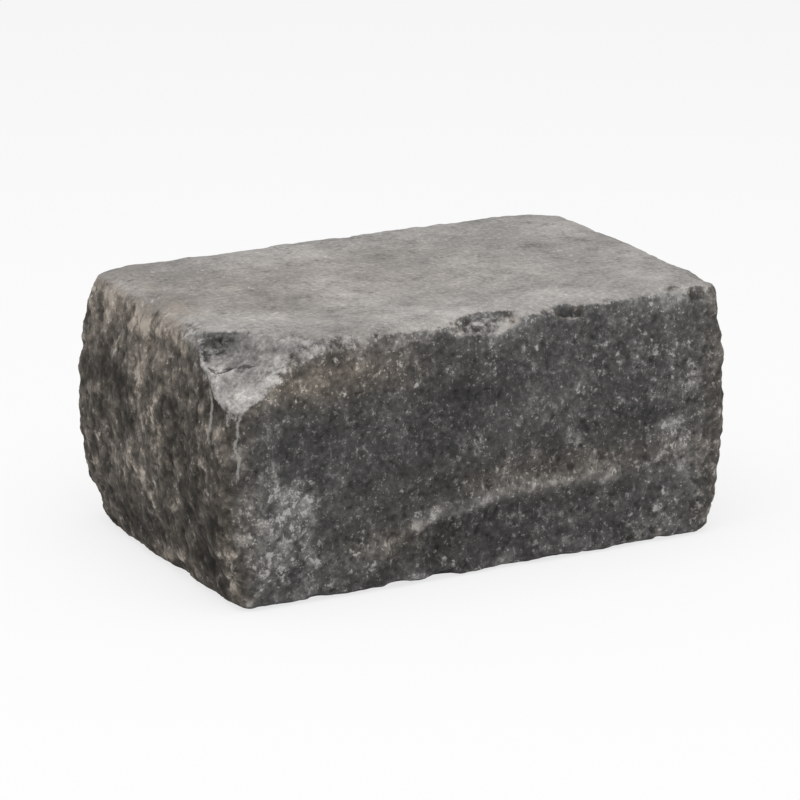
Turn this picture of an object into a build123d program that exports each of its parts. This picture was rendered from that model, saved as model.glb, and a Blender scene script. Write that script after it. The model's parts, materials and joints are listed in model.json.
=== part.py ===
"""A tumbled concrete wall block: one solid casting with crowned sides and knocked-about edges.

Frame: millimetres, +Z up, origin at the middle of the bottom bed, X along the block's length
and the front face towards -Y. The two beds are flat, so that courses stack dry.
"""

from build123d import *

import os
from math import degrees

# Overall size, measured over the crowns of the faces.
LENGTH = 320.0
DEPTH = 202.0
HEIGHT = 146.0

# How far each side face falls back from its middle: across at its upright edges, and up at the beds.
LEFT_CROWN = (3.0, 11.0)
RIGHT_CROWN = (3.0, 6.5)
FRONT_CROWN = (2.0, 2.0)
BACK_CROWN = (2.5, 2.5)

# Wear on the upright edges, named by the side and the end they stand at.
FRONT_LEFT_RADIUS = 12.0
FRONT_RIGHT_RADIUS = 10.0
BACK_LEFT_RADIUS = 9.0
BACK_RIGHT_RADIUS = 11.0

# Bevel worn along the edges round the two beds: its width on the bed and on the sides.
TOP_BEVEL = (4.5, 3.5)
BOTTOM_BEVEL = (3.5, 4.0)

# Corners knocked flat: how far the break reaches along, across and down from the square corner.
TOP_FRONT_RIGHT_KNOCK = (24.0, 19.0, 25.0)
TOP_BACK_LEFT_KNOCK = (30.0, 26.0, 20.0)
TOP_BACK_RIGHT_KNOCK = (40.0, 30.0, 30.0)
BOTTOM_FRONT_LEFT_KNOCK = (27.0, 20.0, 21.0)
BOTTOM_FRONT_RIGHT_KNOCK = (27.0, 22.0, 30.0)
BOTTOM_BACK_LEFT_KNOCK = (36.0, 44.0, 44.0)
BOTTOM_BACK_RIGHT_KNOCK = (30.0, 30.0, 28.0)

# The one large spall, hollowed out of the top corner at the front and left.
SPALL_REACH = (64.0, 56.0, 36.0)
SPALL_RADIUS = 220.0

# The steep head of that spall, bitten in under the top bed by a tipped stump: how far the foot of the
# head lies along, across and down from the square corner, how steeply its floor falls, and its size.
HEAD_FOOT = (21.5, 39.0, 9.0)
HEAD_FALL = 25.0
HEAD_FLOOR_RADIUS = 13.0
HEAD_MOUTH_RADIUS = 22.0
HEAD_HEIGHT = 24.0

# A long flake scar across the front: a shallow arched trough with its lip low on the face.
SCAR_DEPTH = 2.2
SCAR_TUBE_RADIUS = 36.0
SCAR_ARCH_RADIUS = 270.0
SCAR_LIP_HEIGHT = 45.0
SCAR_CREST_FROM_RIGHT = 120.0
SCAR_TURN = -0.5

# Shallow dishes flaked off the sides, as one looks at the face: each with its place to the right of the
# face's middle, its height above the bottom bed, its length, width and depth, and the lean of its length.
FRONT_DISHES = ((10.0, 20.0, 160.0, 40.0, 2.8, 0.0),)
LEFT_DISHES = ((38.0, 80.0, 72.0, 40.0, 2.8, 75.0), (-48.0, 60.0, 90.0, 42.0, 2.6, 40.0))
RIGHT_DISHES = ((48.0, 52.0, 84.0, 44.0, 2.8, -25.0),)
BACK_DISHES = ((74.0, 52.0, 120.0, 48.0, 2.6, -12.0),)

# Bites out of the edges of the beds, each with its place along the edge from the edge's middle,
# its width along the edge, and its depth in from the square edge.
TOP_FRONT_BITES = ((-3.0, 32.0, 5.5), (50.0, 34.0, 5.5))
BOTTOM_FRONT_BITES = ((18.0, 58.0, 6.0),)
TOP_LEFT_BITES = ((22.0, 70.0, 13.0),)
BOTTOM_LEFT_BITES = ((-24.0, 52.0, 13.0),)
TOP_RIGHT_BITES = ((-38.0, 50.0, 9.5),)
TOP_BACK_BITES = ((-72.0, 54.0, 7.0),)


def crown_radius(half_width, crown):
    """Radius of the arc that falls back by crown at half_width from its middle."""
    return (half_width**2 + crown**2) / (2 * crown)


class Side:
    """One side face of the block, and the upright ring whose outside swells it.

    The face is width across, stands at distance from the block's middle, and is turned about Z from the
    right end by turn degrees. The ring's outermost point touches the middle of the face, and the ring has
    one radius across and another up, so that the face falls back by its own amount each way.
    """

    def __init__(self, width, distance, turn, crown):
        across, up = crown
        self.across_radius = crown_radius(width / 2, across)
        self.up_radius = crown_radius(HEIGHT / 2, up)
        self.middle = Rotation(0, 0, turn) * Pos(distance - self.across_radius, 0, HEIGHT / 2)

    def ring(self):
        """The whole ring."""
        return self.middle * Torus(self.across_radius - self.up_radius, self.up_radius)

    def seat(self, across, height):
        """A place on the crowned face, with X pointing straight out of it there."""
        round_block = Rotation(0, 0, degrees(across / self.across_radius))
        round_tube = Rotation(0, -degrees((height - HEIGHT / 2) / self.up_radius), 0)
        tube_middle = self.middle * round_block * Pos(self.across_radius - self.up_radius, 0, 0)
        return tube_middle * round_tube * Pos(self.up_radius, 0, 0)


RIGHT = Side(DEPTH, LENGTH / 2, 0, RIGHT_CROWN)
BACK = Side(LENGTH, DEPTH / 2, 90, BACK_CROWN)
LEFT = Side(DEPTH, LENGTH / 2, 180, LEFT_CROWN)
FRONT = Side(LENGTH, DEPTH / 2, 270, FRONT_CROWN)


def crowned_body():
    """The cast block: flat beds, and four sides that swell gently in the middle."""
    body = Pos(0, 0, HEIGHT / 2) * Box(LENGTH, DEPTH, HEIGHT)
    for side in (RIGHT, BACK, LEFT, FRONT):
        body &= side.ring()
    return body


def dish_side(body, side, dishes):
    """Flakes shallow dishes off a side, each with a ring that stands out from its seat on the crown."""
    for across, height, length, width, depth, lean in dishes:
        long_radius = crown_radius(length / 2, depth)
        short_radius = crown_radius(width / 2, depth)
        ring = Torus(long_radius - short_radius, short_radius)
        body -= side.seat(across, height) * Rotation(lean, 0, 0) * Pos(long_radius - depth, 0, 0) * ring
    return body


def square_point(end, side, bed):
    """A corner of the block before wear: end -1 left, 1 right; side -1 front, 1 back; bed -1 bottom, 1 top.

    A 0 stands for halfway, so that one 0 gives the middle of an edge.
    """
    return Vector(end * LENGTH / 2, side * DEPTH / 2, (1 + bed) * HEIGHT / 2)


def upright_edge(body, end, side):
    """The upright edge between an end and a side."""
    middle = square_point(end, side, 0)
    return min(body.edges(), key=lambda edge: (edge.center() - middle).length)


def worn_edges(body):
    """Tumbling rounds the upright edges most, each by its own amount, and bevels the edges of the beds."""
    upright_radii = {
        (-1, -1): FRONT_LEFT_RADIUS,
        (1, -1): FRONT_RIGHT_RADIUS,
        (-1, 1): BACK_LEFT_RADIUS,
        (1, 1): BACK_RIGHT_RADIUS,
    }
    for (end, side), radius in upright_radii.items():
        body = fillet(upright_edge(body, end, side), radius)
    for axis_end, bevel in ((-1, TOP_BEVEL), (0, BOTTOM_BEVEL)):
        bed = body.faces().sort_by(Axis.Z)[axis_end]
        body = chamfer(bed.edges(), *bevel, reference=bed)
    return body


def corner_breaks(end, side, bed, reach):
    """The three points where a break meets the square corner's edges, and the break's outward normal."""
    corner = square_point(end, side, bed)
    along, across, down = reach
    points = (
        corner - Vector(end * along, 0, 0),
        corner - Vector(0, side * across, 0),
        corner - Vector(0, 0, bed * down),
    )
    return points, Vector(end / along, side / across, bed / down).normalized()


def knock_corner(body, end, side, bed, reach):
    """Breaks a corner off flat."""
    points, outward = corner_breaks(end, side, bed, reach)
    return split(body, bisect_by=Plane(points[0], z_dir=outward), keep=Keep.BOTTOM)


def spall_corner(body, end, side, bed, reach):
    """Breaks a corner off hollow, with a ball that passes through the three break points."""
    points, outward = corner_breaks(end, side, bed, reach)
    ring = Edge.make_three_point_arc(*points)
    rise = (SPALL_RADIUS**2 - ring.radius**2) ** 0.5
    return body - Pos(ring.arc_center + outward * rise) * Sphere(SPALL_RADIUS)


def spall_head(end, side, bed, reach):
    """The tipped stump that bites the steep head of the spall, with its floor falling away outwards."""
    along, across, down = HEAD_FOOT
    foot = square_point(end, side, bed) - Vector(end * along, side * across, bed * down)
    outward = Vector(end / reach[0], side / reach[1], 0).normalized()
    square = Plane(foot, x_dir=outward, z_dir=(0, 0, bed))
    stump = Cone(HEAD_FLOOR_RADIUS, HEAD_MOUTH_RADIUS, HEAD_HEIGHT)
    return square * Rotation(0, HEAD_FALL, 0) * Pos(HEAD_FLOOR_RADIUS, 0, HEAD_HEIGHT / 2) * stump


def bite_edge(body, end, side, bed, bites):
    """Scoops bites out of one edge of a bed, each with a ball that stands out along the edge's bisector.

    Either end or side is 0: the edge runs along that direction.
    """
    outward = Vector(end, side, bed).normalized()
    along = Vector(abs(side), abs(end), 0)
    for place, width, depth in bites:
        radius = crown_radius(width / 2, depth)
        middle = square_point(end, side, bed) + along * place + outward * (radius - depth)
        body -= Pos(middle) * Sphere(radius)
    return body


def flake_scar():
    """A ring of round section that stands out of the front face and bites SCAR_DEPTH into it."""
    half_chord = (SCAR_TUBE_RADIUS**2 - (SCAR_TUBE_RADIUS - SCAR_DEPTH) ** 2) ** 0.5
    ring_radius = SCAR_ARCH_RADIUS + half_chord
    crest = LENGTH / 2 - SCAR_CREST_FROM_RIGHT
    ring_middle = (0, 0, SCAR_LIP_HEIGHT - SCAR_ARCH_RADIUS)
    stand_off = SCAR_TUBE_RADIUS - SCAR_DEPTH
    ring = Rotation(90, 0, 0) * Torus(ring_radius, SCAR_TUBE_RADIUS)
    return Pos(crest, -DEPTH / 2 - stand_off, 0) * Rotation(0, 0, SCAR_TURN) * Pos(*ring_middle) * ring


def wall_block():
    """The whole block, one casting."""
    body = worn_edges(crowned_body())
    knocks = {
        (1, -1, 1): TOP_FRONT_RIGHT_KNOCK,
        (-1, 1, 1): TOP_BACK_LEFT_KNOCK,
        (1, 1, 1): TOP_BACK_RIGHT_KNOCK,
        (-1, -1, -1): BOTTOM_FRONT_LEFT_KNOCK,
        (1, -1, -1): BOTTOM_FRONT_RIGHT_KNOCK,
        (-1, 1, -1): BOTTOM_BACK_LEFT_KNOCK,
        (1, 1, -1): BOTTOM_BACK_RIGHT_KNOCK,
    }
    for (end, side, bed), reach in knocks.items():
        body = knock_corner(body, end, side, bed, reach)
    bites = {
        (0, -1, 1): TOP_FRONT_BITES,
        (0, -1, -1): BOTTOM_FRONT_BITES,
        (-1, 0, 1): TOP_LEFT_BITES,
        (-1, 0, -1): BOTTOM_LEFT_BITES,
        (1, 0, 1): TOP_RIGHT_BITES,
        (0, 1, 1): TOP_BACK_BITES,
    }
    for (end, side, bed), row in bites.items():
        body = bite_edge(body, end, side, bed, row)
    body = spall_corner(body, -1, -1, 1, SPALL_REACH) - spall_head(-1, -1, 1, SPALL_REACH)
    body -= flake_scar()
    dishes = {FRONT: FRONT_DISHES, LEFT: LEFT_DISHES, RIGHT: RIGHT_DISHES, BACK: BACK_DISHES}
    for side, row in dishes.items():
        body = dish_side(body, side, row)
    return body


os.makedirs("parts", exist_ok=True)
block = wall_block()
export_step(block, "parts/wall_block.step")
print("wall_block volume", round(block.volume), "mm3, box", block.bounding_box().size)
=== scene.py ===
# %% [markdown]
# # A tumbled concrete wall block
# This lesson dresses one block of a dry garden wall. The block was cast, then tumbled in a drum with
# others, so its edges are knocked off and its sides are scuffed, while the two beds it stacks on stay flat.
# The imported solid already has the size, the crowned sides and the big breaks. What is left for Blender
# is the roughness that tumbling leaves, and the colour of dry concrete.

# %% Load the frame
import json
import math
import random

import bpy
import numpy as np
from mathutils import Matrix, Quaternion, Vector

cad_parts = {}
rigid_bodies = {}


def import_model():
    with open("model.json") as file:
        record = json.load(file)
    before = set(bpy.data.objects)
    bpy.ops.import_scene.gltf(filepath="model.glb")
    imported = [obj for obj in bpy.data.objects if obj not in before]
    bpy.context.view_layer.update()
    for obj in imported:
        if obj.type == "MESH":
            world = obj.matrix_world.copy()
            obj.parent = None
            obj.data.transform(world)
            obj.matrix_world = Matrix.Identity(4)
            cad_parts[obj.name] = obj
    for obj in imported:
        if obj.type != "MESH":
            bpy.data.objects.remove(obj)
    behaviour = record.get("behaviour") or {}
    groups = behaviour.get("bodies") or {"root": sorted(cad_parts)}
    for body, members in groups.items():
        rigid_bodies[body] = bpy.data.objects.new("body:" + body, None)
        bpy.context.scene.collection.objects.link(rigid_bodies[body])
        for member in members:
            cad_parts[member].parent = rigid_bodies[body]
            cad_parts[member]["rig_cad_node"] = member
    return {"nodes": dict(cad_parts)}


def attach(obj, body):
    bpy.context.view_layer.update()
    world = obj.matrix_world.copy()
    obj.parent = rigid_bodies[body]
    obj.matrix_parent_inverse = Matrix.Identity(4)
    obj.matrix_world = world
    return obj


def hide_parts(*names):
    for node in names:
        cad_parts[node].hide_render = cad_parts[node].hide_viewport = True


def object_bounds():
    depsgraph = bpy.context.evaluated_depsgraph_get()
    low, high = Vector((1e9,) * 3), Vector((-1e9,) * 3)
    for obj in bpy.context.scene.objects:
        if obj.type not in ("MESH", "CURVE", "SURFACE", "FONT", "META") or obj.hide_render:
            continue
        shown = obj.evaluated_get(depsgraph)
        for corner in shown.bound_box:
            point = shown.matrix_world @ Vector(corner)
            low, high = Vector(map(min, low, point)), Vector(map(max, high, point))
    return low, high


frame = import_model()
cad_low, cad_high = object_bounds()
print("block measures", [round(side * 1000) for side in cad_high - cad_low], "mm")

# %% [markdown]
# ## The camera
# The block is seen from a little above and from the left of its front, far enough off that its upright
# edges stay upright. A long lens from over two metres keeps that gentle perspective and fills the frame.

# %% Aim a long lens at the block
AZIMUTH, ELEVATION, DISTANCE = math.radians(-28.0), math.radians(16.7), 2.3
FRAME_FILL = 0.84

middle = (cad_low + cad_high) / 2
towards_camera = Vector((
    math.sin(AZIMUTH) * math.cos(ELEVATION),
    -math.cos(AZIMUTH) * math.cos(ELEVATION),
    math.sin(ELEVATION),
))
seen_width = (cad_high.x - cad_low.x) * math.cos(AZIMUTH) - (cad_high.y - cad_low.y) * math.sin(AZIMUTH)

bpy.ops.object.camera_add(location=middle + towards_camera * DISTANCE)
camera = bpy.context.object
camera.rotation_euler = towards_camera.to_track_quat("Z", "Y").to_euler()
camera.data.lens = camera.data.sensor_width * DISTANCE * FRAME_FILL / seen_width
bpy.context.scene.camera = camera
print("lens", round(camera.data.lens), "mm for a block", round(seen_width * 1000), "mm wide as seen")

# %% [markdown]
# ## A copy to work on
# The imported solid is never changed, so the work starts from a copy of it. Its triangles come loose, and
# merging the corners that lie on each other turns them into one closed skin.

# %% Copy the solid and close its skin
def alone(thing):
    """Selects one object and nothing else."""
    bpy.ops.object.select_all(action="DESELECT")
    thing.select_set(True)
    bpy.context.view_layer.objects.active = thing


alone(frame["nodes"]["wall_block"])
bpy.ops.object.duplicate()
block = bpy.context.object
block.name = block.data.name = "tumbled_block"
del block["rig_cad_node"]
bpy.ops.object.parent_clear(type="CLEAR_KEEP_TRANSFORM")
bpy.ops.object.mode_set(mode="EDIT")
bpy.ops.mesh.select_all(action="SELECT")
bpy.ops.mesh.remove_doubles(threshold=1e-5)
bpy.ops.object.mode_set(mode="OBJECT")
print("skin has", len(block.data.polygons), "triangles")

# %% [markdown]
# ## The arrises
# An arris is the sharp line where two faces meet, and it is where tumbling does its damage. All of them
# can be found by angle. A copy of just those lines is kept as a wire, to measure nearness from later.

# %% Find the arrises and keep them as a wire
bpy.ops.object.mode_set(mode="EDIT")
bpy.ops.mesh.select_mode(type="EDGE")
bpy.ops.mesh.select_all(action="DESELECT")
bpy.ops.mesh.edges_select_sharp(sharpness=math.radians(22))
bpy.ops.object.mode_set(mode="OBJECT")
corners = block.data.vertices
arrises = []
for edge in block.data.edges:
    if edge.select:
        start, end = corners[edge.vertices[0]], corners[edge.vertices[1]]
        arrises.append((start.co.copy(), end.co.copy(), (start.normal + end.normal).normalized()))
bpy.ops.object.mode_set(mode="EDIT")
bpy.ops.mesh.duplicate()
bpy.ops.mesh.separate(type="SELECTED")
bpy.ops.object.mode_set(mode="OBJECT")
wire = next(thing for thing in bpy.context.selected_objects if thing != block)
wire.name = "arris_wire"
print(len(arrises), "pieces of arris")

# %% [markdown]
# ## Rubbing
# In the drum every arris is rubbed round before anything breaks off it. The skin is first knitted into an
# even net, because a Smooth modifier needs corners all over it to move. Then it is smoothed near the
# arris wire only, and once more along the top of the left end, which is worn the most.

# %% Knit the skin into an even net
FIRST_NET = 0.003


def knit(size):
    """Rebuilds the block's skin as an even net of small squares."""
    alone(block)
    net = block.modifiers.new("net", "REMESH")
    net.mode = "VOXEL"
    net.voxel_size = size
    bpy.ops.object.modifier_apply(modifier=net.name)
    block.vertex_groups.clear()
    print("even net has", len(block.data.polygons), "faces")


knit(FIRST_NET)


# %% Measure and mask the skin
def places():
    """The block's vertices, one row each, in metres."""
    flat = np.empty(len(block.data.vertices) * 3, np.float32)
    block.data.vertices.foreach_get("co", flat)
    return flat.reshape(-1, 3)


def facings():
    """The way the skin faces at each vertex."""
    flat = np.empty(len(block.data.vertices) * 3, np.float32)
    block.data.vertices.foreach_get("normal", flat)
    return flat.reshape(-1, 3)


def ease(value, low, high):
    """Rises smoothly from 0 at low to 1 at high."""
    share = np.clip((value - low) / (high - low), 0, 1)
    return share * share * (3 - 2 * share)


def paint(name, weights):
    """Makes a mask, a vertex group, from one weight per vertex."""
    group = block.vertex_groups.new(name=name)
    levels = np.round(weights * 25).astype(int)
    for level in range(1, 26):
        group.add(np.flatnonzero(levels == level).tolist(), level / 25, "REPLACE")


def paint_arrises(reach):
    """Makes the mask of the arrises, full at the wire and gone at reach from it."""
    paint("arrises", np.ones(len(block.data.vertices)))
    near = block.modifiers.new("near", "VERTEX_WEIGHT_PROXIMITY")
    near.vertex_group = "arrises"
    near.target = wire
    near.proximity_mode = "GEOMETRY"
    near.proximity_geometry = {"EDGE"}
    near.min_dist = reach
    near.max_dist = 0.001
    near.falloff_type = "SMOOTH"
    alone(block)
    bpy.ops.object.modifier_apply(modifier=near.name)


# %% Rub the arrises round
ARRIS_REACH = 0.012


def rub(mask, rounds):
    """Smooths the skin inside a mask."""
    smooth = block.modifiers.new("rub", "SMOOTH")
    smooth.vertex_group = mask
    smooth.factor = 0.5
    smooth.iterations = rounds
    bpy.ops.object.modifier_apply(modifier=smooth.name)


paint_arrises(ARRIS_REACH)
rub("arrises", 3)
along, across, up = places().T
paint("left_top", ease(along, -0.122, -0.140) * ease(up, 0.112, 0.130) * ease(across, -0.052, -0.034))
rub("left_top", 24)

# %% [markdown]
# ## Chips
# Each knock takes a flake out of an arris: shallow, wider than deep, and never twice the same. One rough
# pebble stands for each flake. Many pebbles are set along the arrises and cut away in one go with a
# Boolean, which leaves crisp little scoops that no noise pattern gives.

# %% Shape a pebble
chance = random.Random(11)


def pebble(place, outward, length, width, depth, spin, rounds=3):
    """Adds a rough flat pebble that scoops length by width by depth out of the skin at a place."""
    half_height = depth * 4
    turn = outward.to_track_quat("Z", "Y") @ Quaternion((0, 0, 1), spin)
    bpy.ops.mesh.primitive_ico_sphere_add(
        subdivisions=rounds,
        radius=1.0,
        location=place + outward * (half_height - depth),
        rotation=turn.to_euler(),
        scale=(length * 0.76, width * 0.76, half_height),
    )
    bpy.ops.transform.vertex_random(offset=depth * 0.75 / rounds, seed=chance.randrange(1000))


bpy.ops.object.select_all(action="DESELECT")
bpy.ops.mesh.primitive_ico_sphere_add(subdivisions=1, radius=0.001, location=(0, 0, 1))
pebbles = bpy.context.object
pebbles.name = "pebbles"
bpy.ops.object.mode_set(mode="EDIT")
bpy.ops.mesh.delete(type="VERT")

# %% Scatter pebbles along the arrises
BREAK_REACH = np.array((0.064, 0.056, 0.036))
BREAK_FACING = np.array((-1, -1, 1)) / BREAK_REACH
BREAK_FACING /= np.linalg.norm(BREAK_FACING)
CORNER = np.array((cad_low.x, cad_low.y, cad_high.z))


def from_corner(place):
    """How far places lie from the broken corner, as a share of the break's own reach."""
    return (np.abs(place - CORNER) / BREAK_REACH).sum(-1)


def scatter(pieces, count, widths, depths):
    """Sets pebbles at random along pieces of arris; widths and depths are ranges in millimetres."""
    lengths = [(end - start).length for start, end, _ in pieces]
    for _ in range(count):
        start, end, outward = chance.choices(pieces, weights=lengths)[0]
        width = chance.uniform(*widths) / 1000
        pebble(
            start.lerp(end, chance.random()),
            outward,
            width * chance.uniform(1.0, 1.7),
            width,
            chance.uniform(*depths) / 1000,
            chance.uniform(0, math.pi),
        )


far_off = [piece for piece in arrises if from_corner(np.array(piece[0])) > 1.7]
chipped = [piece for piece in far_off if piece[0].x > -0.138 or piece[0].z < 0.12]
scatter(chipped, 50, (5, 10), (1.6, 2.6))
scatter(chipped, 26, (10, 20), (2.0, 3.6))
scatter(chipped, 6, (20, 34), (2.6, 4.4))
print("scattered chips have", len(pebbles.data.polygons), "faces")

# %% [markdown]
# The big break isn't one smooth hollow. Concrete splits along many small shells that meet in ridges, so
# angular stones are set all over its face, and small ones along its rim.

# %% Scatter stones over the big break
def broken(place, facing):
    """How surely each spot belongs to the face of the big break."""
    share = ease(facing @ BREAK_FACING, 0.50, 0.80) * ease(from_corner(place), 1.6, 1.4)
    return share * ease(facing[:, 2], 0.98, 0.93) * ease(place[:, 2], 0.103, 0.117)


bare = np.flatnonzero(broken(places(), facings()) > 0.8).tolist()
for vertex in chance.sample(bare, 10):
    spot = block.data.vertices[vertex]
    width = chance.uniform(0.014, 0.024)
    depth = chance.uniform(0.0012, 0.0024)
    tipped = (spot.normal + Vector([chance.uniform(-0.25, 0.25) for _ in range(3)])).normalized()
    pebble(
        spot.co,
        tipped,
        width * chance.uniform(1.0, 1.6),
        width,
        depth,
        chance.uniform(0, math.pi),
        rounds=2,
    )
rim = [piece for piece in arrises if 0.9 < from_corner(np.array(piece[0])) < 1.35]
scatter(rim, 12, (5, 10), (1.0, 1.8))
print(len(bare), "places on the break, with", len(pebbles.data.polygons), "faces of chips in all")

# %% Cut away the chips and knit again
FINE_NET = 0.00125

bpy.ops.object.mode_set(mode="OBJECT")
alone(block)
cut = block.modifiers.new("chips", "BOOLEAN")
cut.object = pebbles
cut.operation = "DIFFERENCE"
cut.solver = "EXACT"
cut.use_self = True
bpy.ops.object.modifier_apply(modifier=cut.name)
bpy.data.objects.remove(pebbles)
knit(FINE_NET)

# %% [markdown]
# ## Where each kind of wear belongs
# The sides, the ends, the arrises and the big break wear differently. Each gets a mask, painted by place
# and facing instead of by brush. The end's coarse wear runs a little way round the upright arrises.

# %% Paint the masks
smooth_place, facing = places(), facings()
in_break = broken(smooth_place, facing)
on_bed = ease(np.abs(facing[:, 2]), 0.75, 0.95) * (1 - in_break)
off_bed = ease(np.minimum(smooth_place[:, 2], cad_high.z - smooth_place[:, 2]), 0.002, 0.018)
from_end = cad_high.x - np.abs(smooth_place[:, 0])
on_end = np.maximum(ease(np.abs(facing[:, 0]), 0.1, 0.8), 0.5 * ease(from_end, 0.036, 0.010))
on_end = on_end * (1 - in_break) * (1 - on_bed)
paint_arrises(ARRIS_REACH)
paint("sides", off_bed * (1 - in_break))
paint("ends", on_end * off_bed)
paint("skin", (1 - on_bed) * (1 - in_break))
paint("break", in_break)
rub("skin", 2)
bpy.data.objects.remove(wire)
print("break covers", int(in_break.sum()), "vertices, ends", int(on_end.sum()), "beds", int(on_bed.sum()))

# %% [markdown]
# ## The lip
# The long flake on the front ends low down in an arched lip. The solid has the hollows above and below it.
# The line between them is sharpened here, with a shallow step that starts at the arch and fades below it.

# %% Sharpen the lip
LIP_CREST = (40, 45)
LIP_ARCH = 270
LIP_STRENGTH = np.array(((-90, 0), (-50, 0.6), (-15, 1), (55, 1), (90, 0.4), (130, 0)))

along, up = smooth_place[:, 0] * 1000, smooth_place[:, 2] * 1000
waver = 0.7 * np.sin(along / 6.3) + 0.4 * np.sin(along / 2.7 + 1)
below_lip = LIP_CREST[1] - (along - LIP_CREST[0]) ** 2 / (2 * LIP_ARCH) + waver - up
lip_strength = np.interp(along, *LIP_STRENGTH.T)
on_front = ease(-facing[:, 1], 0.6, 0.9)
paint("under_lip", on_front * lip_strength * ease(below_lip, -1, 5) * ease(below_lip, 24, 7))
step = block.modifiers.new("step", "DISPLACE")
step.vertex_group = "under_lip"
step.mid_level = 0.0
step.strength = -0.0009
bpy.ops.object.modifier_apply(modifier=step.name)

# %% [markdown]
# ## Relief
# A Displace modifier pushes the skin along its own facing by a texture, once for each kind of roughness.
# More of each push goes inwards than outwards, and the last step holds the whole skin inside the size the
# block was cast at.

# %% Push the skin about by textures
def wear(name, kind, size, depth, mask, level=0.35, **settings):
    """Presses a texture into the skin inside a mask; level is the share of depth that stands out."""
    texture = bpy.data.textures.new(name, kind)
    texture.noise_scale = size
    for setting, value in settings.items():
        setattr(texture, setting, value)
    bpy.ops.object.empty_add(location=(0.37 * len(bpy.data.textures), 0, 0))
    ruler = bpy.context.object
    alone(block)
    push = block.modifiers.new(name, "DISPLACE")
    push.texture = texture
    push.texture_coords = "OBJECT"
    push.texture_coords_object = ruler
    push.vertex_group = mask
    push.mid_level = level
    push.strength = -depth
    bpy.ops.object.modifier_apply(modifier=push.name)
    bpy.data.objects.remove(ruler)


wear("broad_hollows", "CLOUDS", 0.045, 0.0030, "sides", noise_depth=2)
wear("scuffs", "CLOUDS", 0.011, 0.0018, "sides", noise_depth=3)
wear("worn_arris", "CLOUDS", 0.012, 0.0020, "arrises", level=0.2, noise_depth=2)
wear("end_lumps", "CLOUDS", 0.018, 0.0044, "ends", noise_depth=3)
wear("end_grain", "VORONOI", 0.008, 0.0016, "ends")
wear("broken_ridges", "CLOUDS", 0.010, 0.0022, "break", noise_depth=3)
wear("sand_grain", "CLOUDS", 0.0030, 0.0010, "skin", noise_depth=1)

# %% Press the beds flat and keep inside the cast size
KNEE = 0.0008

place = places()
for axis in (0, 1):
    room = cad_high[axis] - np.abs(place[:, axis])
    tight = room < KNEE
    room[tight] = KNEE * np.exp(room[tight] / KNEE - 1)
    place[:, axis] = np.sign(place[:, axis]) * (cad_high[axis] - room)
place[:, 2] = np.clip(place[:, 2], cad_low.z, cad_high.z)
block.data.vertices.foreach_set("co", place.ravel())
block.data.update()
moved = np.linalg.norm(place - smooth_place, axis=1)
print("relief moves the skin by up to", round(float(moved.max()) * 1000, 1), "mm")

# %% [markdown]
# ## Notes for the paint
# The finish has to know where it is too. Each mask is written on the mesh as an attribute, a number at
# every vertex that a material can read. One more says how far each spot lies below its neighbours,
# because the pits are painted darker, partly as dirt and partly as painted shade, and the high spots rub
# pale.

# %% Write the masks as attributes
def note(name, values):
    """Stores one number per vertex under a name that the material reads."""
    layer = block.data.attributes.new(name, "FLOAT", "POINT")
    layer.data.foreach_set("value", np.ascontiguousarray(values, np.float32))


def weights_of(name):
    """The painted weight of each vertex in a group."""
    index = block.vertex_groups[name].index
    weights = np.zeros(len(block.data.vertices), np.float32)
    for vertex in block.data.vertices:
        for entry in vertex.groups:
            if entry.group == index:
                weights[vertex.index] = entry.weight
    return weights


def neighbours_mean(points, rounds):
    """Averages every vertex with its neighbours along the edges, several times over."""
    ends = np.empty(len(block.data.edges) * 2, np.int32)
    block.data.edges.foreach_get("vertices", ends)
    one, other = ends.reshape(-1, 2).T
    count = np.bincount(ends, minlength=len(points)).astype(float)
    for _ in range(rounds):
        summed = np.empty_like(points, dtype=float)
        for axis in range(3):
            at_one = np.bincount(one, points[other, axis], len(points))
            at_other = np.bincount(other, points[one, axis], len(points))
            summed[:, axis] = at_one + at_other
        points = summed / count[:, None]
    return points


rough_place, rough_facing = places(), facings()
pit = ((neighbours_mean(rough_place, 6) - rough_place) * rough_facing).sum(1) * 1000
note("pit", pit)
least = np.where(rough_place[:, 1] < -0.085, 0.5, 0.1)
dusty = ease(rough_facing[:, 2], least, 0.9) * ease(rough_place[:, 2], cad_high.z - 0.022, cad_high.z - 0.003)
note("top_bed", dusty * (1 - 0.6 * in_break))
note("on_end", on_end)
to_front = ease(rough_place[:, 0], -0.140, -0.116) * ease(rough_place[:, 1], -0.084, -0.098)
to_end = ease(rough_place[:, 1], -0.066, -0.054)
stained = np.maximum(in_break, 0.4 * ease(from_corner(rough_place), 1.4, 1.1) * (1 - on_bed))
note("in_break", stained * (1 - 0.6 * to_front) * (1 - 0.7 * to_end))
note("arris", weights_of("arrises"))
print("pits reach", round(float(pit.max()), 2), "mm and lumps", round(float(-pit.min()), 2), "mm")
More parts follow.
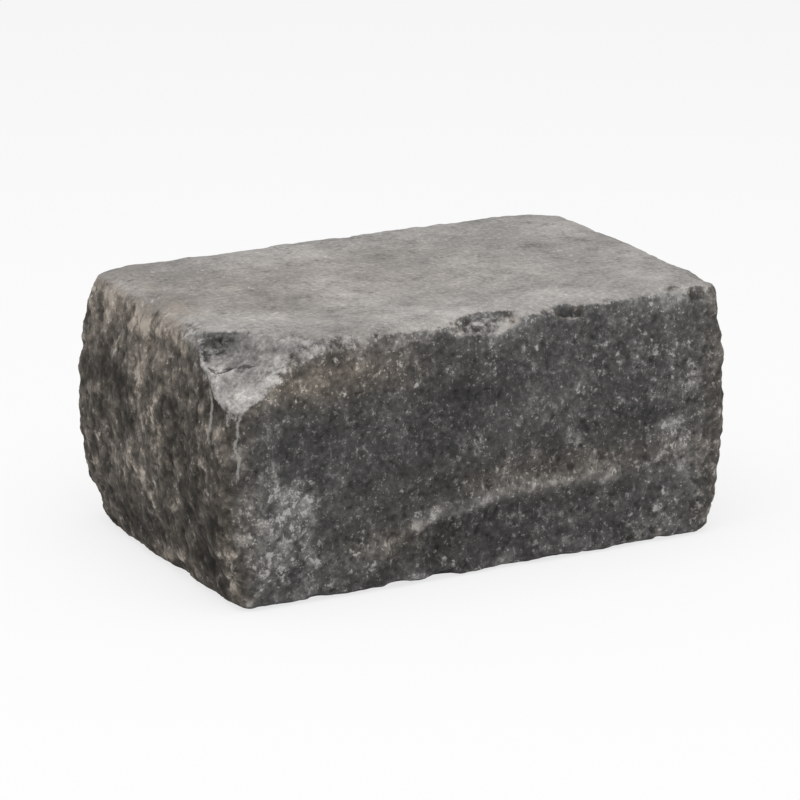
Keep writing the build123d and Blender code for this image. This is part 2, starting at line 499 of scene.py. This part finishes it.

# %% [markdown]
# ## Tones
# The block isn't one grey. Stains, bruises and rubbed spots show on it, and some spots are painted light
# and shade: highlights on the lip, shade in nicks and under the break's head, and lighter and darker parts
# of the left end. Each has its place, so each is noted as a soft spot: its middle and its reach in
# millimetres along, across and up, by how many stops it is lighter or darker than the rest, and how
# thickly pale flecks lie on it. A second list has the browns.

# %% Note the broad tones
SPOTS = (
    # The front: a bruise at the left, the lip's band, a light right side and dark hollows, with painted
    # highlights on the lip and painted shade in nicks under the top arris.
    ((-113, -100, 55), (12, 20, 12), 0.6, 2.8),
    ((-136, -100, 42), (18, 20, 26), 0.35, 1.4),
    ((-112, -100, 26), (26, 20, 16), 0.35, 1.4),
    ((-60, -100, 84), (62, 20, 24), -0.25, -0.5),
    ((-84, -100, 58), (30, 20, 16), -0.25, -0.5),
    ((78, -100, 72), (40, 20, 13), -0.4, -0.8),
    ((116, -100, 68), (9, 20, 9), 0.4, 2.2),
    ((4, -100, 20), (38, 20, 14), -0.35, -0.8),
    # Painted highlights along the lip's crest, where the crest's other highlight fades out.
    ((-48, -100, 32), (16, 20, 7), 0.25, 0.2),
    ((-68, -100, 24), (15, 20, 8), 0.35, 0.3),
    ((130, -100, 42), (24, 20, 30), 0.4, 0.7),
    # The band just over the lip is painted lighter, partly as painted light where it faces up.
    ((66, -100, 53), (76, 20, 13), 0.45, 0.1),
    ((92, -100, 104), (34, 20, 16), 0.15, 0.9),
    ((120, -100, 90), (13, 20, 8), 0.3, 1.1),
    ((-116, -98, 122), (30, 12, 12), 0.9, 0.0),
    ((-52, -100, 124), (60, 20, 16), 0.35, 0.3),
    ((-100, -100, 127), (26, 14, 12), 0.4, -0.6),
    ((75, -100, 141), (90, 16, 7), 0.5, 0.5),
    # Painted shade in small nicks under the top arris.
    ((-110, -100, 134), (4, 12, 9), -0.9, 0.0),
    ((-3, -98, 136), (9, 8, 4), -0.7, 0.0),
    ((50, -98, 136), (12, 8, 4), -0.7, 0.0),
    # The left end: pale along its top, partly the bed's dust carried over the rounded arris and partly
    # painted light where that rounding faces up, with light and dark patches below.
    ((-156, 20, 136), (22, 80, 24), 1.15, -1.0),
    ((-160, -14, 88), (20, 9, 13), 1.1, 1.4),
    ((-160, 11, 104), (20, 8, 18), 1.0, 1.2),
    ((-160, -38, 60), (20, 9, 16), 1.1, 1.2),
    ((-160, 18, 54), (20, 34, 11), 1.0, 0.8),
    ((-160, -34, 84), (20, 14, 26), -1.0, -1.2),
    ((-160, 50, 96), (20, 26, 22), -0.8, -0.8),
    # Darker towards the bottom, partly as painted shade where the crowned end turns down.
    ((-160, -62, 40), (20, 24, 26), -0.9, -0.8),
    ((-160, 20, 24), (20, 40, 14), -0.8, -0.8),
    # The big break: a dark head, which is painted shade under the top edge, a pale floor, partly its own pale
    # colour and partly painted light where it faces up, and a pale foot.
    ((-139, -61, 142), (12, 8, 7), -1.1, 0.0),
    ((-143, -74, 134), (11, 9, 8), 0.5, 0.0),
    ((-146, -93, 120), (11, 10, 10), 0.6, 0.0),
)
BROWNS = (
    ((-82, -100, 126), (48, 20, 16), 0.9),
    ((-116, -98, 122), (30, 12, 12), 0.6),
    ((46, -100, 54), (90, 20, 12), 0.65),
    ((-58, -100, 26), (30, 20, 12), 0.6),
    ((-140, -4, 146), (20, 22, 10), 0.9),
    ((-128, 48, 146), (24, 40, 10), 0.6),
    ((-147, -95, 119), (10, 10, 12), 0.6),
)


def spread(listed, column):
    """Adds up one column of a list of soft spots over the whole skin."""
    sum_of_spots = np.zeros(len(rough_place))
    for row in listed:
        away = ((rough_place * 1000 - np.array(row[0])) / np.array(row[1])) ** 2
        sum_of_spots += row[column] * np.exp(-away.sum(1))
    return sum_of_spots


note("tone_and_painted_light", spread(SPOTS, 2))
note("flecked", spread(SPOTS, 3))
note("brown", np.clip(spread(BROWNS, 2) + on_end, 0, 1.2))
# The lip's crest gets a painted highlight, and the band just under it gets painted shade.
note("lip_highlight", on_front * lip_strength * ease(below_lip, -13, -2) * ease(below_lip, 5, 0))
note("under_lip_shade", on_front * lip_strength * ease(below_lip, 2, 8) * ease(below_lip, 26, 10))

# %% [markdown]
# Lime has run out of the big break and dried as thin pale drips on both sides of the upright arris.
# Each is noted as a wavering line, measured round the corner so that it can lie on the curve of it.

# %% Note the lime drips
round_corner = (rough_place[:, 0] - rough_place[:, 1]) * 1000
up = rough_place[:, 2] * 1000
drip = np.zeros(len(up))
for line, head, foot, thick in ((-77, 124, 84, 1.5), (-51, 116, 66, 1.3), (-60, 118, 98, 1.0)):
    waver = line + 1.2 * np.sin(up / 4.1) + 0.7 * np.sin(up / 1.9 + line)
    run = ease(up, head, head - 8) * ease(up, foot, foot + 16)
    drip += np.exp(-(((round_corner - waver) / thick) ** 2)) * run
by_corner = ease(-rough_place[:, 0], 0.13, 0.14) * ease(-rough_place[:, 1], 0.05, 0.06)
note("drip", np.clip(drip, 0, 1) * by_corner)

# %% Thin the skin where it is flat
TRIANGLES = 190000

thin = block.modifiers.new("thin", "DECIMATE")
thin.ratio = TRIANGLES / (2 * len(block.data.polygons))
bpy.ops.object.modifier_apply(modifier=thin.name)
block.data.vertices.foreach_set("co", np.clip(places(), cad_low, cad_high).ravel())
bpy.ops.object.shade_smooth()
block.vertex_groups.clear()
block.data.materials.clear()
print("finished skin has", sum(len(face.vertices) - 2 for face in block.data.polygons), "triangles")

# %% [markdown]
# ## Concrete
# Tumbled concrete is dark cement with sand and grit showing through. Its colour is built up in layers:
# a mottled matrix, sand, pale grains and dark pores, then bruises and dust, and some painted shade and
# highlights in pits, nicks and along the lip. A few small helpers keep each layer to a line or two.

# %% Make helpers for the layers
concrete = bpy.data.materials.new("tumbled_concrete")
concrete.use_nodes = True
tree = concrete.node_tree
tree.nodes.clear()


def node(kind, inputs=None, **settings):
    """Adds a shader node, sets its settings, and fills its inputs with values or links."""
    new = tree.nodes.new(kind)
    for setting, value in settings.items():
        setattr(new, setting, value)
    for socket, value in (inputs or {}).items():
        if isinstance(value, bpy.types.NodeSocket):
            tree.links.new(value, new.inputs[socket])
        else:
            new.inputs[socket].default_value = value
    return new


def noise(size, detail=6.0, rough=0.6, at=None):
    """Cloudy noise whose largest blots are size metres across."""
    return node(
        "ShaderNodeTexNoise",
        {"Vector": at or here, "Scale": 1 / size, "Detail": detail, "Roughness": rough},
    ).outputs


def between(value, low, high, start=0.0, stop=1.0):
    """Maps low..high smoothly onto start..stop."""
    return node(
        "ShaderNodeMapRange",
        {"Value": value, "From Min": low, "From Max": high, "To Min": start, "To Max": stop},
        interpolation_type="SMOOTHSTEP",
    ).outputs["Result"]


def maths(operation, first, second=0.0, third=0.0):
    """One sum on numbers."""
    return node("ShaderNodeMath", {0: first, 1: second, 2: third}, operation=operation).outputs[0]


def tint(share, under, over, blend="MIX"):
    """Lays one colour over another by a share."""
    mix = node("ShaderNodeMix", {"Factor": share}, data_type="RGBA", blend_type=blend)
    for socket, value in ((mix.inputs[6], under), (mix.inputs[7], over)):
        if isinstance(value, bpy.types.NodeSocket):
            tree.links.new(value, socket)
        else:
            socket.default_value = (*value, 1)
    return mix.outputs[2]


def noted(name):
    """Reads a number that was written on the mesh."""
    return node("ShaderNodeAttribute", attribute_name=name).outputs["Fac"]


here = node("ShaderNodeTexCoord").outputs["Object"]

# %% Make a helper for grains
ragged = node(
    "ShaderNodeVectorMath",
    {0: noise(0.0016, 3)["Color"], 1: (0.0022, 0.0022, 0.0022), 2: here},
    operation="MULTIPLY_ADD",
).outputs[0]


def grains(spacing, share, smallest, largest, shift):
    """Scattered grains with ragged outlines: how far apart, how many places hold one, and how large."""
    moved = node("ShaderNodeVectorMath", {0: ragged, 1: (shift, shift, shift)}, operation="ADD").outputs[0]
    cells = node("ShaderNodeTexVoronoi", {"Vector": moved, "Scale": 1 / spacing}).outputs
    luck = node("ShaderNodeSeparateColor", {0: cells["Color"]}).outputs
    reach = between(luck[1], 0.0, 1.0, smallest, largest)
    inside = between(maths("SUBTRACT", reach, cells["Distance"]), 0.0, 0.15)
    return maths("MULTIPLY", inside, maths("LESS_THAN", luck[0], share))


# %% [markdown]
# Light and dark are added up in stops, as a photographer counts them: one stop doubles the light that
# comes back. Adding stops keeps the dark spots from going black and lets a few grains shine, which is
# how the real surface is spread.

# %% Count the stops of the matrix
CEMENT_GREY = 0.077


def weigh(value, middle, stops):
    """Turns a number around a middle value into stops."""
    return maths("MULTIPLY", maths("SUBTRACT", value, middle), stops)


def total(first, *others):
    """Adds up any number of values."""
    for other in others:
        first = maths("ADD", first, other)
    return first


clouds = noise(0.045, 5, 0.55)["Fac"]
blots = noise(0.013, 5, 0.6)["Fac"]
grit = noise(0.0028, 5, 0.75)["Fac"]
scratched = []
for lean in (0.9, -1.2):
    slanted = node("ShaderNodeMapping", {"Vector": here, "Rotation": (0.5, lean, 0.3), "Scale": (1, 1, 0.3)})
    scratched.append(between(noise(0.0028, 2, 0.5, slanted.outputs[0])["Fac"], 0.67, 0.73))
scratches = maths("MAXIMUM", *scratched)
rags = noise(0.009, 5, 0.7)["Fac"]
bruise = between(total(rags, maths("MULTIPLY", noted("flecked"), 0.10)), 0.54, 0.72)
sparks = between(total(noise(0.0050, 3, 0.7)["Fac"], maths("MULTIPLY", bruise, 0.07)), 0.62, 0.67)
fine_sparks = between(total(noise(0.0022, 2, 0.65)["Fac"], maths("MULTIPLY", bruise, 0.05)), 0.64, 0.69)
grain = grains(0.0040, 0.30, 0.05, 0.34, 0.31)
pores = grains(0.0075, 0.16, 0.04, 0.18, 0.77)
stops = total(
    weigh(clouds, 0.5, 2.2),
    weigh(blots, 0.5, 3.1),
    weigh(rags, 0.5, 1.0),
    maths("MULTIPLY", weigh(grit, 0.5, 3.4), maths("MULTIPLY_ADD", noted("on_end"), -0.35, 1.0)),
    noted("tone_and_painted_light"),
    maths("MULTIPLY", bruise, 0.9),
    maths("MULTIPLY", sparks, maths("MULTIPLY_ADD", noted("on_end"), -0.6, 1.55)),
    maths("MULTIPLY", fine_sparks, maths("MULTIPLY_ADD", noted("on_end"), -0.6, 1.6)),
    maths("MULTIPLY", scratches, maths("MULTIPLY_ADD", noted("on_end"), -0.9, 0.9)),
    maths("MULTIPLY", grain, 0.7),
    maths("MULTIPLY", pores, -1.4),
    maths("MULTIPLY", noted("on_end"), total(weigh(rags, 0.5, 2.4), weigh(blots, 0.5, 3.8))),
    maths("MULTIPLY", noted("arris"), between(blots, 0.4, 0.65, 0.0, 0.7)),
    # Pits are painted darker, partly as dirt and partly as painted shade; lumps are painted paler where they
    # rub.
    maths("MULTIPLY", between(noted("pit"), 0.0, 0.5), maths("MULTIPLY_ADD", noted("on_end"), 0.4, -1.2)),
    maths("MULTIPLY", between(noted("pit"), 0.0, -0.4), 0.6),
    # Painted highlight on the lip's crest and painted shade just under it.
    maths("MULTIPLY", noted("lip_highlight"), between(rags, 0.35, 0.6, 0.4, 0.85)),
    maths("MULTIPLY", noted("under_lip_shade"), -0.4),
)
held = maths("SMOOTH_MIN", stops, 2.5, 0.8)
tan = tint(noted("brown"), (1.01, 0.985, 0.965), (1.12, 0.985, 0.84))
matrix = node(
    "ShaderNodeVectorMath",
    {0: tan, "Scale": maths("MULTIPLY", maths("POWER", 2.0, held), CEMENT_GREY)},
    operation="SCALE",
).outputs[0]

# %% Dust the bed, open the break and run the lime
DUST_GREY = 0.304
BARE_GREY = 0.24
LIME_WHITE = (0.34, 0.325, 0.30)

bed_stops = total(
    weigh(noise(0.07, 4)["Fac"], 0.5, 2.2),
    weigh(blots, 0.5, 1.3),
    weigh(grit, 0.5, 2.4),
    maths("MULTIPLY", fine_sparks, 0.4),
    maths("MULTIPLY", pores, -0.7),
    maths("MULTIPLY", noted("brown"), -0.2),
)
bed_tan = tint(noted("brown"), (1.03, 0.985, 0.94), (1.04, 0.93, 0.83))
bed = node(
    "ShaderNodeVectorMath",
    {0: bed_tan, "Scale": maths("MULTIPLY", maths("POWER", 2.0, bed_stops), DUST_GREY)},
    operation="SCALE",
).outputs[0]
dusted = total(
    noted("top_bed"),
    weigh(blots, 0.5, 1.8),
    weigh(grit, 0.5, 1.2),
    between(noted("tone_and_painted_light"), 0.0, -0.8, 0.0, -0.4),
)
dust = between(dusted, 0.1, 0.9)
colour = tint(dust, matrix, bed)
raw_stops = total(
    weigh(rags, 0.5, 4.0),
    weigh(grit, 0.5, 3.4),
    noted("tone_and_painted_light"),
    maths("MULTIPLY", grain, 0.5),
    maths("MULTIPLY", pores, -1.5),
    # On the break too, pits are painted darker, partly as dirt and partly as painted shade, and lumps a
    # little paler.
    maths("MULTIPLY", between(noted("pit"), 0.0, 0.6), -0.5),
    maths("MULTIPLY", between(noted("pit"), 0.0, -0.5), 0.2),
)
raw = node(
    "ShaderNodeVectorMath",
    {0: (1.03, 0.985, 0.95), "Scale": maths("MULTIPLY", maths("POWER", 2.0, raw_stops), BARE_GREY)},
    operation="SCALE",
).outputs[0]
opened = between(total(noted("in_break"), weigh(rags, 0.5, 2.4), weigh(grit, 0.5, 1.4)), 0.2, 0.8)
colour = tint(maths("MULTIPLY", opened, 0.9), colour, raw)
lime = between(total(noted("drip"), weigh(grit, 0.5, 1.6)), 0.3, 0.8)
colour = tint(maths("MULTIPLY", lime, 0.85), colour, LIME_WHITE)

# %% Finish the surface
height = total(
    maths("MULTIPLY", grit, 0.6),
    maths("MULTIPLY", noise(0.0045, 5, 0.7)["Fac"], maths("MULTIPLY", noted("in_break"), 1.6)),
    maths("MULTIPLY", noise(0.0010, 3)["Fac"], 0.35),
    maths("MULTIPLY", grain, 0.25),
    maths("MULTIPLY", pores, -1.0),
)
bump = node("ShaderNodeBump", {"Height": height, "Strength": 0.8, "Distance": 0.0007})
shader = node(
    "ShaderNodeBsdfPrincipled",
    {
        "Base Color": colour,
        "Roughness": between(grit, 0.3, 0.7, 0.86, 0.98),
        "Specular IOR Level": 0.2,
        "Normal": bump.outputs["Normal"],
    },
)
node("ShaderNodeOutputMaterial", {"Surface": shader.outputs["BSDF"]})
block.data.materials.append(concrete)
print("concrete has", len(tree.nodes), "nodes")

# %% [markdown]
# ## The studio
# White paper runs under the block and light comes softly from above. Brighter lamps would make the paper
# white, but they would bleach the block too. So the paper is white only for a ray that looks at it, which
# the Light Path node can tell, and the block is lit by the paper's plain pale grey.

# %% Make a helper for the white paper
def looked_at():
    """Is 1 for rays that see the paper, straight or in a shine, and 0 for those that only light by it."""
    path = node("ShaderNodeLightPath").outputs
    mirrored = maths("MAXIMUM", path["Is Glossy Ray"], path["Is Transmission Ray"])
    return maths("MAXIMUM", path["Is Camera Ray"], mirrored)


# %% Lay the floor and hang the lights
bpy.ops.object.select_all(action="DESELECT")
bpy.ops.mesh.primitive_circle_add(vertices=96, radius=6, fill_type="NGON", location=(0, 0, 0))
floor = bpy.context.object
floor.name = "floor"
paper = bpy.data.materials.new("white_paper")
paper.use_nodes = True
tree = paper.node_tree
tree.nodes.clear()
matt = node("ShaderNodeBsdfDiffuse", {"Color": (0.9, 0.9, 0.9, 1)}).outputs[0]
glow = node("ShaderNodeEmission", {"Color": (1, 1, 1, 1), "Strength": 1.0}).outputs[0]
seen = maths("MULTIPLY", looked_at(), 0.75)
sheet = node("ShaderNodeMixShader", {0: seen, 1: matt, 2: glow}).outputs[0]
node("ShaderNodeOutputMaterial", {"Surface": sheet})
floor.data.materials.append(paper)

bpy.ops.object.light_add(type="AREA", location=(-0.3, -0.5, 2.2))
softbox = bpy.context.object
softbox.data.shape = "SQUARE"
softbox.data.size = 2.4
softbox.data.energy = 38
softbox.rotation_euler = (softbox.location - middle).to_track_quat("Z", "Y").to_euler()

world = bpy.data.worlds.new("studio")
bpy.context.scene.world = world
world.use_nodes = True
tree = world.node_tree
tree.nodes.clear()
sky = node("ShaderNodeBackground", {"Color": (1, 1, 1, 1), "Strength": 0.5}).outputs[0]
white = node("ShaderNodeBackground", {"Color": (1, 1, 1, 1), "Strength": 1.0}).outputs[0]
backdrop = node("ShaderNodeMixShader", {0: looked_at(), 1: sky, 2: white}).outputs[0]
node("ShaderNodeOutputWorld", {"Surface": backdrop})
bpy.context.scene.view_settings.view_transform = "Standard"
print("softbox of", softbox.data.energy, "W hangs", round(softbox.location.z, 1), "m above the paper")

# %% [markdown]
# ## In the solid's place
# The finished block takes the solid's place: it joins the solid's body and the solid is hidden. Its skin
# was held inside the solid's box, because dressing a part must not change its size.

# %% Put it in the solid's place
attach(block, "root")
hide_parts("wall_block")
